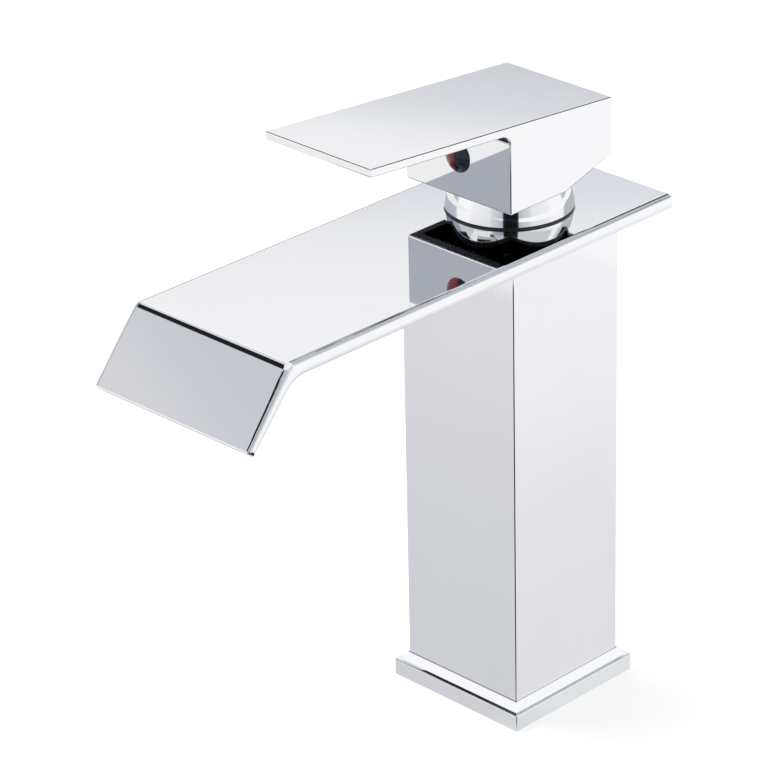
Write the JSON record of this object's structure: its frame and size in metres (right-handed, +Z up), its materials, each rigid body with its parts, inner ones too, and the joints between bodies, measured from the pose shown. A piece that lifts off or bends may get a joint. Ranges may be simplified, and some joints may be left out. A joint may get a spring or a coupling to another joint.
{
  "type": "single-lever basin mixer",
  "caption": "Tall waterfall basin mixer: square column on a stepped foot, thin flat spout bent down at its lip, and a lever on a hub over a dome cap.",
  "frame": {"origin": "centre of the foot opening, on the deck plane that the foot stands on", "axes": "+Z up, -Y towards the user, where the spout points, +X towards the user's right, where cold is"},
  "size_m": [0.0584, 0.1602, 0.1844],
  "materials": {
    "chrome_trim": "polished",
    "rubber_seal": "matte",
    "cartridge_plastic": "matte",
    "ceramic": "lapped ceramic",
    "brass": "machined",
    "steel": "machined",
    "black_plastic": "satin",
    "indicator_red": "gloss",
    "indicator_blue": "gloss"
  },
  "bodies": {
    "tap_body": {"base_flange": "chrome_trim", "base_gasket": "rubber_seal", "column_body": "chrome_trim", "spout_gasket": "rubber_seal", "spout_shell": "chrome_trim", "spout_floor": "chrome_trim", "port_seals": "rubber_seal", "cartridge_base": "cartridge_plastic", "disc_seals": "rubber_seal", "fixed_disc": "ceramic", "cartridge_housing": "cartridge_plastic", "housing_ring": "rubber_seal", "cartridge_nut": "brass", "dome_ring": "black_plastic", "dome_cap": "chrome_trim"},
    "swivel": {"cartridge_rotor": "cartridge_plastic", "pivot_pin": "steel", "stop_ring": "cartridge_plastic"},
    "lever": {"spindle": "brass", "handle": "chrome_trim", "set_screw": "steel", "indicator_plug": "black_plastic", "indicator_hot": "indicator_red", "indicator_cold": "indicator_blue"},
    "slider": {"disc_carrier": "cartridge_plastic", "moving_disc": "ceramic"}
  },
  "joints": [
    {"name": "handle_swivel", "type": "hinge", "parent": "tap_body", "child": "swivel", "pos_m": [0, 0, 0.1462], "axis": [0, 0, 1], "range_deg": [-45, 45]},
    {"name": "handle_lift", "type": "hinge", "parent": "swivel", "child": "lever", "pos_m": [0, 0, 0.1462], "axis": [-1, 0, 0], "range_deg": [0, 25]},
    {"name": "disc_slide", "type": "slide", "parent": "swivel", "child": "slider", "axis": [0, -1, 0], "range_m": [0, 0.0035]}
  ],
  "couplings": [
    {"joint": "disc_slide", "follows": "handle_lift", "m_per_rad": 0.0079366}
  ]
}
